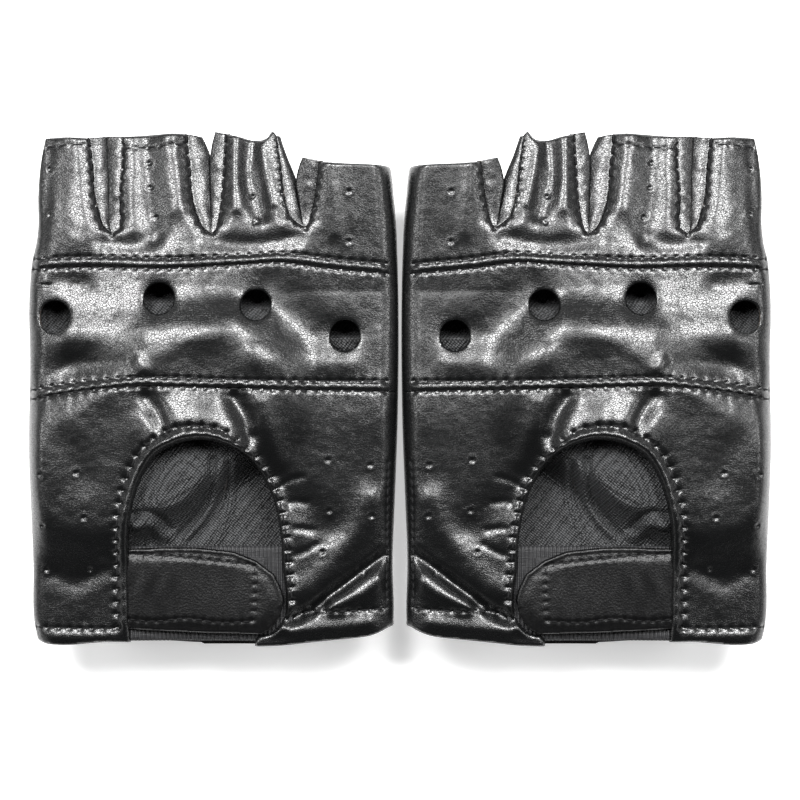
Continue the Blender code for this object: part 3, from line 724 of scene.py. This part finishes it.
def thumb_tube(inset, lengthways, around):
    """The half thumb: a flattened tube, open at its hem and at its root."""
    points = []
    for t in np.linspace(0, 1, lengthways):
        middle, half, direction = thumb_section(t, inset)
        for turn in np.linspace(0, 2 * math.pi, around, endpoint=False):
            across = math.copysign(abs(math.cos(turn)) ** 0.75, math.cos(turn)) * half
            up = math.copysign(abs(math.sin(turn)) ** 0.6, math.sin(turn))
            rise = 3.6 - inset - 0.35 * math.exp(-(((t - 0.93) * 47 / 0.8) ** 2)) * (inset == 0)
            pillow = 0.25 * float(noise(np.array(50 * t), np.array(8 * turn), 4, 31)) * abs(up)
            place = middle + direction * across
            points.append((*place, THUMB_MIDDLE_Z + up * (rise + pillow)))
    i = np.arange(lengthways * around).reshape(lengthways, around)
    j = np.roll(i, -1, axis=1)
    quads = np.stack([i[:-1], i[1:], j[1:], j[:-1]], -1).reshape(-1, 4)
    return np.array(points), quads


strap_outline = np.array(STRAP, float)
strap_rows = [StitchRow(row, depth=0.28, width=0.5, pitch=2.9) for row in STRAP_ROWS]


def strap_beyond(u, v):
    """Signed distance outside the strap."""
    return outside_outline(u, v, strap_outline)


def strap_height(u, v):
    """Height of the strap's upper face: sewn down in a box, with a smooth tab beyond it."""
    edge = strap_beyond(u, v)
    z = STRAP_TOP - 0.5 * smooth_step((u - 76) / 9) + 0.25 * noise(u, v, 14, 51)
    z = z - 0.7 * smooth_step(1 + edge / 5)
    z = z + 0.35 * bell(u - 40.5, 3.4) - 0.25 * bell(u - 44.8, 1.2)
    z = z + 0.3 * bell(edge + 0.7, 0.5) * (v > 12)
    z = z + 0.12 * np.sin(u * 0.9 + 1.5 * noise(u, v, 9, 52)) * smooth_step((u - 46) / 3)
    for row in strap_rows:
        z = z + row.press(u, v)
    return z - rounded_edge(edge, 0.5, 0.3)


def strap_sheet():
    """The strap's upper face."""
    u, v, quads = trimmed(*plain_grid(35, 87.4, 3.4, 31.4, 0.5), strap_beyond)
    return np.stack([u, v, strap_height(u, v)], 1), quads


def band_height(u):
    """The elastic sags a little between its sewn ends."""
    return BAND_TOP - 0.8 * np.sin(np.pi * np.clip((u - 33.4) / 53.2, 0, 1)) ** 0.7


def band_sheet():
    """Ribbed elastic: ribs run along the glove."""
    u, v = plain_grid(33.6, 86.4, 1.7, 31.1, 0.2, 1.0)
    rib = np.abs(np.sin(np.pi * (u + 0.12 * noise(u, v, 5, 61)) / 1.25)) ** 0.7
    z = band_height(u) - 0.7 + 0.7 * rib + 0.2 * noise(u, v, 11, 62)
    edge = np.minimum(v - 1.7, 31.1 - v)
    z = z - 0.35 * smooth_step(1 - edge / 0.9)
    return np.stack([u.ravel(), v.ravel(), z.ravel()], 1), grid_quads(*u.shape)


def tape_sheet(low, seed):
    """A square of hook or loop tape with a coarse pile."""
    u, v = plain_grid(42, 62, 7.5, 27.5, 0.5)
    z = low + 0.45 + 0.12 * np.random.default_rng(seed).uniform(-1, 1, u.shape)
    return np.stack([u.ravel(), v.ravel(), z.ravel()], 1), grid_quads(*u.shape)


def stitches(row_list, height, radius=0.3, lift=0.02):
    """Separate stitches along rows: each one a short rounded run of thread that dips into its holes."""
    around, along = 6, 9
    points, quads = [], []
    for row in row_list:
        length = np.concatenate([[0], np.cumsum(np.linalg.norm(np.diff(row.path, axis=0), axis=1))])
        t = np.linspace(0.1, 0.9, along)
        at = (np.arange(row.count)[:, None] + t) * row.pitch
        u, v = np.interp(at, length, row.path[:, 0]), np.interp(at, length, row.path[:, 1])
        ahead = np.stack([np.gradient(u, axis=1), np.gradient(v, axis=1)], -1)
        ahead /= np.maximum(np.linalg.norm(ahead, axis=-1, keepdims=True), 1e-9)
        middle = np.median(height(u, v), axis=1, keepdims=True)
        bow = np.sin(np.pi * (t - 0.1) / 0.8)
        z = middle + lift - 0.42 * (1 - bow) ** 1.5
        thick = radius * np.sqrt(np.clip(1 - ((t - 0.5) / 0.42) ** 4, 0.08, 1))
        turn = np.linspace(0, 2 * math.pi, around, endpoint=False)
        across = np.cos(turn)[None, None] * thick[None, :, None]
        ring_u = u[..., None] - ahead[..., 1, None] * across
        ring_v = v[..., None] + ahead[..., 0, None] * across
        ring_z = z[..., None] + np.sin(turn)[None, None] * thick[None, :, None]
        ring = np.stack([ring_u, ring_v, ring_z], -1).reshape(row.count, along * around, 3)
        i = np.arange(along * around).reshape(along, around)
        j = np.roll(i, -1, axis=1)
        tube = np.stack([i[:-1], i[1:], j[1:], j[:-1]], -1).reshape(-1, 4)
        last = (along - 1) * around
        first_cap = np.array([(0, 1, 4, 5), (1, 2, 3, 4)])
        single = np.vstack([tube, first_cap, last + first_cap[:, ::-1]])
        offset = sum(len(p) for p in points)
        step = along * around * np.arange(row.count)[:, None, None]
        quads.append((single[None] + step).reshape(-1, 4) + offset)
        points.append(ring.reshape(-1, 3))
    return np.vstack(points), np.vstack(quads)


# ---- materials ----

def fill(tree, node, output, **inputs):
    """Sets a node's inputs, each to a value or to another node's output, and gives its named output."""
    for key, value in inputs.items():
        socket = node.inputs[key.replace("_", " ").title()]
        if isinstance(value, bpy.types.NodeSocket):
            tree.links.new(value, socket)
        else:
            socket.default_value = value
    return node.outputs[output]


def remap(tree, value, low, high, to_low, to_high):
    """A value moved from one range to another."""
    node = tree.nodes.new("ShaderNodeMapRange")
    return fill(tree, node, "Result", value=value, from_min=low, from_max=high, to_min=to_low, to_max=to_high)


class Finish:
    """A procedural material in the object's own coordinates, built up from textures."""

    def __init__(self, name, colour, roughness, specular=0.5):
        self.material = bpy.data.materials.new(name)
        self.material.use_nodes = True
        self.tree = self.material.node_tree
        self.shader = self.tree.nodes["Principled BSDF"]
        self.shader.inputs["Base Color"].default_value = (*colour, 1)
        self.shader.inputs["Roughness"].default_value = roughness
        self.shader.inputs["Specular IOR Level"].default_value = specular
        self.place = self.add("TexCoord", "Object")
        self.normal = {}

    def add(self, kind, output, **inputs):
        """The named output of a new node of this kind."""
        return fill(self.tree, self.tree.nodes.new("ShaderNode" + kind), output, **inputs)

    def noise(self, scale, detail, vector=None):
        """Noise from 0 to 1."""
        return self.add("TexNoise", "Fac", vector=vector or self.place, scale=scale, detail=detail)

    def cells(self, scale, vector=None, randomness=1.0):
        """Distance from the middle of each cell."""
        place = vector or self.place
        return self.add("TexVoronoi", "Distance", vector=place, scale=scale, randomness=randomness)

    def cracks(self, vector, scale, width):
        """1 on the face of each grain cell, falling to 0 in the creases between them."""
        node = self.tree.nodes.new("ShaderNodeTexVoronoi")
        node.feature = "DISTANCE_TO_EDGE"
        edge = fill(self.tree, node, "Distance", vector=vector, scale=scale)
        return remap(self.tree, edge, 0.0, width, 0.0, 1.0)

    def stretched(self, vector, scale):
        """Coordinates scaled by a different amount along each axis."""
        return self.add("Mapping", "Vector", vector=vector, scale=scale)

    def warped(self, scale, amount):
        """The object's coordinates pushed about by noise, so that cells lose their regular look."""
        push = self.tree.nodes.new("ShaderNodeVectorMath")
        push.operation = "MULTIPLY_ADD"
        self.tree.links.new(self.add("TexNoise", "Color", vector=self.place, scale=scale), push.inputs[0])
        push.inputs[1].default_value = (amount, amount, amount)
        self.tree.links.new(self.place, push.inputs[2])
        return push.outputs["Vector"]

    def drive(self, socket, value):
        """Links a value to one of the material's own inputs."""
        self.tree.links.new(value, self.shader.inputs[socket])

    def bump(self, height, strength, distance):
        """One more layer of bump, on top of the earlier ones."""
        values = {"height": height, "strength": strength, "distance": distance}
        self.normal = {"normal": self.add("Bump", "Normal", **values, **self.normal)}
        self.drive("Normal", self.normal["normal"])

    def colour(self, value, low, high):
        """Colours the material between two colours, by a value from 0 to 1."""
        mix = self.tree.nodes.new("ShaderNodeMix")
        mix.data_type = "RGBA"
        self.drive("Base Color", fill(self.tree, mix, "Result", factor=value, a=(*low, 1), b=(*high, 1)))


def make_leather(name="black_leather", gloss=1.0):
    """Black lambskin with a soft gloss: creased grain cells and finer wrinkles."""
    skin = Finish(name, (0.006, 0.006, 0.0065), 0.4)
    grain = skin.cracks(skin.stretched(skin.warped(260.0, 0.0022), (1.0, 1.4, 1.0)), 1150.0, 0.11)
    skin.bump(skin.noise(380.0, 2.5), 0.36, 0.0003)
    skin.bump(grain, 0.26, 0.00008)
    skin.drive("Roughness", remap(skin.tree, grain, 0.0, 1.0, 0.36 / gloss, 0.26 / gloss))
    skin.drive("Specular IOR Level", remap(skin.tree, grain, 0.0, 1.0, 0.2 * gloss, 0.7 * gloss))
    skin.colour(skin.noise(70.0, 3.0), (0.0015, 0.0016, 0.0017), (0.004, 0.0042, 0.0044))
    return skin.material


def make_strap_leather():
    """Black leather with a duller face and fine streaks along the glove."""
    skin = Finish("strap_leather", (0.01, 0.01, 0.01), 0.36, specular=0.3)
    streak = skin.noise(1.0, 4.0, skin.stretched(skin.place, (1500, 160, 400)))
    skin.bump(streak, 0.5, 0.0003)
    skin.bump(skin.cells(1700.0), 0.3, 0.0002)
    skin.colour(streak, (0.0004, 0.0004, 0.0005), (0.004, 0.004, 0.0042))
    return skin.material


def make_raw_edge():
    """The cut edge of the leather: dull dark brown fibres."""
    edge = Finish("raw_leather_edge", (0.05, 0.038, 0.03), 0.9)
    fibre = edge.noise(1400.0, 3.0)
    edge.bump(fibre, 0.4, 0.0002)
    edge.colour(fibre, (0.022, 0.018, 0.015), (0.085, 0.062, 0.048))
    return edge.material


def make_suede():
    """The flesh side of the leather."""
    suede = Finish("leather_inside", (0.03, 0.028, 0.027), 0.95)
    nap = suede.noise(900.0, 4.0)
    suede.bump(nap, 0.4, 0.0002)
    suede.colour(nap, (0.014, 0.013, 0.013), (0.045, 0.042, 0.04))
    return suede.material


def make_knit():
    """Black knit lining: rows of small loops slanting across the glove, coloured with a painted sheen on each
    loop and painted shade in the gaps between loops.
    """
    knit = Finish("black_knit", (0.03, 0.03, 0.032), 0.5, specular=0.3)
    turned = knit.add("Mapping", "Vector", vector=knit.place, rotation=(0, 0, math.radians(38)))
    wales = knit.add("TexWave", "Fac", vector=turned, scale=260.0, distortion=1.2, detail_scale=3.0)
    loops = knit.cells(1150.0, knit.stretched(turned, (1.0, 1.3, 1.0)), randomness=0.25)
    knit.bump(wales, 0.3, 0.0004)
    knit.bump(loops, 1.0, 0.0006)
    # painted sheen and shade: each loop's middle is coloured bright and the gaps between loops nearly black
    yarn = remap(knit.tree, loops, 0.0, 0.7, 1.0, 0.0)
    knit.colour(yarn, (0.001, 0.001, 0.0011), (0.09, 0.092, 0.095))
    return knit.material


def make_elastic():
    """Black ribbed elastic: fine yarns cross the ribs."""
    elastic = Finish("black_elastic", (0.016, 0.016, 0.017), 0.5, specular=0.4)
    yarn = elastic.noise(1.0, 2.0, elastic.stretched(elastic.place, (300, 2600, 300)))
    elastic.bump(yarn, 0.6, 0.0003)
    elastic.colour(yarn, (0.002, 0.002, 0.0022), (0.03, 0.03, 0.032))
    return elastic.material


def make_pile():
    """Hook-and-loop tape: a dense dark pile."""
    pile = Finish("black_hook_and_loop", (0.014, 0.014, 0.015), 0.9)
    tuft = pile.cells(1300.0)
    pile.bump(tuft, 0.8, 0.0004)
    pile.colour(tuft, (0.03, 0.03, 0.032), (0.006, 0.006, 0.006))
    return pile.material


def make_thread():
    """Black sewing thread with its twist."""
    thread = Finish("black_thread", (0.006, 0.006, 0.006), 0.85, specular=0.25)
    twist = thread.noise(2600.0, 2.0)
    thread.bump(twist, 0.6, 0.0002)
    thread.colour(twist, (0.002, 0.002, 0.002), (0.012, 0.012, 0.013))
    return thread.material


# ---- the gloves ----


def finish_piece(obj, body, slot, *nodes):
    """Rides on its body and stands for its CAD nodes, which it hides; its slot is not used."""
    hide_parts(*nodes)
    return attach(obj, body)


def make_glove(prefix, side, shapes, finish):
    """Every piece of one glove."""
    body = f"{prefix}_glove"
    skin = [finish["leather"], finish["edge"], finish["suede"]]
    cloth = [finish["knit"]] * 3
    for name in ("finger_back_panel", "knuckle_panel", "cuff_panel", "palm_panel"):
        outside = [finish["palm"], *skin[1:]] if name == "palm_panel" else skin
        panel = thicken(add_mesh(f"{prefix}_{name}_skin", side, *shapes[name], outside), LEATHER)
        finish_piece(panel, body, "leather", f"{prefix}_{name}")
    for name, width in (("palm_lining", 126), ("back_lining", 122)):
        lining = thicken(add_mesh(f"{prefix}_{name}_knit", side, *shapes[name], cloth), KNIT)
        finish_piece(lining, body, "knit_lining", f"{prefix}_{name}")
    for gap in GAPS:
        for half in ("index_side", "little_side"):
            wall = thicken(add_mesh(f"{prefix}_{gap}_{half}", side, *shapes[gap, half], skin), 0.7)
            finish_piece(wall, body, "leather", f"{prefix}_fourchette_{gap}")
    for name, points in shapes["threads"].items():
        thread = add_mesh(f"{prefix}_{name}_stitches", side, *points, [finish["thread"]])
        node = f"{prefix}_{name}"
        finish_piece(thread, body, "thread", *([node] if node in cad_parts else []))
    make_closure(prefix, side, shapes, finish)
    make_thumb(prefix, side, shapes, finish)


def make_closure(prefix, side, shapes, finish):
    """The elastic, the tapes and the strap."""
    body, flap = f"{prefix}_glove", f"{prefix}_strap_flap"
    band = thicken(add_mesh(f"{prefix}_elastic_ribs", side, *shapes["band"], [finish["elastic"]] * 3), 0.7)
    finish_piece(band, body, "elastic", f"{prefix}_elastic_band")
    loop = thicken(add_mesh(f"{prefix}_loop_pile", side, *shapes["loop"], [finish["pile"]] * 3), 0.4)
    finish_piece(loop, body, "hook_and_loop", f"{prefix}_loop_tape")
    strap_skin = [finish["strap"], finish["edge"], finish["suede"]]
    strap = thicken(add_mesh(f"{prefix}_strap_skin", side, *shapes["strap"], strap_skin), STRAP_DEPTH)
    hook = thicken(add_mesh(f"{prefix}_hook_pile", side, *shapes["hook"], [finish["pile"]] * 3), 0.4)
    seam = add_mesh(f"{prefix}_strap_stitches", side, *shapes["strap_thread"], [finish["thread"]])
    for piece, slot, node in (
        (strap, "strap_leather", "strap"),
        (hook, "hook_and_loop", "hook_tape"),
        (seam, "thread", "strap_thread"),
    ):
        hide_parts(f"{prefix}_{node}")
        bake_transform(piece)


def make_thumb(prefix, side, shapes, finish):
    """The half thumb and its lining, with the stitches round its hem."""
    skin = [finish["leather"], finish["edge"], finish["suede"]]
    cloth = [finish["knit"]] * 3
    stall = thicken(add_mesh(f"{prefix}_thumb_skin", side, *shapes["thumb"], skin), 0.8)
    lining = thicken(add_mesh(f"{prefix}_thumb_knit", side, *shapes["thumb_lining"], cloth), 0.35)
    seam = add_mesh(f"{prefix}_thumb_stitches", side, *shapes["thumb_thread"], [finish["thread"]])
    for piece, slot, nodes in (
        (stall, "leather", [f"{prefix}_thumb_stall"]),
        (lining, "knit_lining", [f"{prefix}_thumb_lining"]),
        (seam, "thread", []),
    ):
        if nodes:
            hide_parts(*nodes)
        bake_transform(piece)


def thumb_stitches():
    """A row of stitches round the thumb's hem, on its outer face."""
    points, quads = [], []
    for face in (1, -1):
        ring = []
        for turn in np.linspace(0.12, math.pi - 0.12, 60):
            middle, half, direction = thumb_section(0.93, 0)
            across = math.copysign(abs(math.cos(turn)) ** 0.75, math.cos(turn)) * half
            z = THUMB_MIDDLE_Z + face * abs(math.sin(turn)) ** 0.6 * 3.3
            ring.append((*(middle + direction * across), z))
        ring = np.array(ring)
        row = StitchRow(ring[:, :2], pitch=3.2)
        order = np.argsort(ring[:, 0])

        def height(u, v, ring=ring, order=order):
            return np.interp(u, ring[order, 0], ring[order, 2])

        p, q = stitches([row], height)
        if face < 0:
            p[:, 2] = p[:, 2] - 0.2
        quads.append(q + sum(len(x) for x in points))
        points.append(p)
    return np.vstack(points), np.vstack(quads)


def make_shapes():
    """Every piece's plan points and faces, shared by the two gloves."""
    shapes = {
        "finger_back_panel": back_sheet(114, 160.4, finger_beyond),
        "knuckle_panel": back_sheet(76, 124, knuckle_beyond, upper_line),
        "cuff_panel": back_sheet(-0.4, 86.5, cuff_beyond, lower_line),
        "palm_panel": palm_sheet(),
        "palm_lining": palm_lining_sheet(),
        "back_lining": back_lining_sheet(),
        "strap": strap_sheet(),
        "band": band_sheet(),
        "loop": tape_sheet(LOOP_TAPE_Z, 71),
        "hook": tape_sheet(HOOK_TAPE_Z, 72),
        "thumb": thumb_tube(0, 90, 120),
        "thumb_lining": thumb_tube(1.05, 40, 70),
        "threads": {name: stitches([row], back_height) for name, row in rows.items()},
        "strap_thread": stitches(strap_rows, strap_height, radius=0.2),
        "thumb_thread": thumb_stitches(),
    }
    for gap in GAPS:
        shapes[gap, "index_side"] = fourchette_sheet(gap, True)
        shapes[gap, "little_side"] = fourchette_sheet(gap, False)
    return shapes


finish = {
    "leather": make_leather(),
    "palm": make_leather("black_palm_leather", 0.5),
    "edge": make_raw_edge(),
    "suede": make_suede(),
    "strap": make_strap_leather(),
    "knit": make_knit(),
    "elastic": make_elastic(),
    "pile": make_pile(),
    "thread": make_thread(),
}
shapes = make_shapes()
for prefix, side in SIDES.items():
    make_glove(prefix, side, shapes, finish)


# ---- the studio ----

def add_floor():
    """A white table top, a little under the gloves, so that the thumbs can swing out below them."""
    mesh = bpy.data.meshes.new("table_top")
    corners = [(-FLOOR_HALF, -FLOOR_HALF, 0), (FLOOR_HALF, -FLOOR_HALF, 0)]
    corners += [(FLOOR_HALF, FLOOR_HALF, 0), (-FLOOR_HALF, FLOOR_HALF, 0)]
    mesh.from_pydata(corners, [], [(0, 1, 2, 3)])
    top = Finish("white_table", (0.92, 0.92, 0.92), 0.8)
    top.colour(top.noise(3.0, 2.0), (0.915, 0.915, 0.915), (0.925, 0.925, 0.925))
    top.shader.inputs["Emission Color"].default_value = (1, 1, 1, 1)
    top.shader.inputs["Emission Strength"].default_value = 0.5
    mesh.materials.append(top.material)
    floor = bpy.data.objects.new("table_top", mesh)
    floor.location.z = FLOOR_Z * MM
    bpy.context.scene.collection.objects.link(floor)


def add_light(name, position, target, size, power):
    """A soft square light that faces its target."""
    data = bpy.data.lights.new(name, "AREA")
    data.size = size
    data.energy = power
    light = bpy.data.objects.new(name, data)
    light.location = position
    light.rotation_euler = (Vector(target) - Vector(position)).to_track_quat("-Z", "Y").to_euler()
    bpy.context.scene.collection.objects.link(light)


def light_studio():
    """Surroundings that are white low down and dark overhead, with large soft lights above the gloves."""
    world = bpy.data.worlds.new("studio")
    world.use_nodes = True
    tree = world.node_tree
    direction = tree.nodes.new("ShaderNodeTexCoord").outputs["Generated"]
    split = tree.nodes.new("ShaderNodeSeparateXYZ")
    tree.links.new(direction, split.inputs["Vector"])
    level = remap(tree, split.outputs["Z"], 0.0, 0.45, 0.8, 0.005)
    tree.links.new(level, tree.nodes["Background"].inputs["Strength"])
    tree.nodes["Background"].inputs["Color"].default_value = (1, 1, 1, 1)
    bpy.context.scene.world = world
    for side in SIDES.values():
        glove_middle = (side * 0.06, 0, 0)
        add_light("key_light", (side * 0.36, 0.5, 0.92), glove_middle, size=0.42, power=18)
        add_light("edge_light", (side * 0.85, 0.1, 0.65), glove_middle, size=0.3, power=2.5)
    bpy.context.scene.view_settings.view_transform = "Standard"


def add_camera():
    """Straight above the pair, fingers towards the top of the picture."""
    data = bpy.data.cameras.new("camera")
    data.lens = 100
    data.sensor_width = 36
    camera = bpy.data.objects.new("camera", data)
    camera.location = CAMERA_PLACE
    bpy.context.scene.collection.objects.link(camera)
    bpy.context.scene.camera = camera


add_floor()
light_studio()
add_camera()
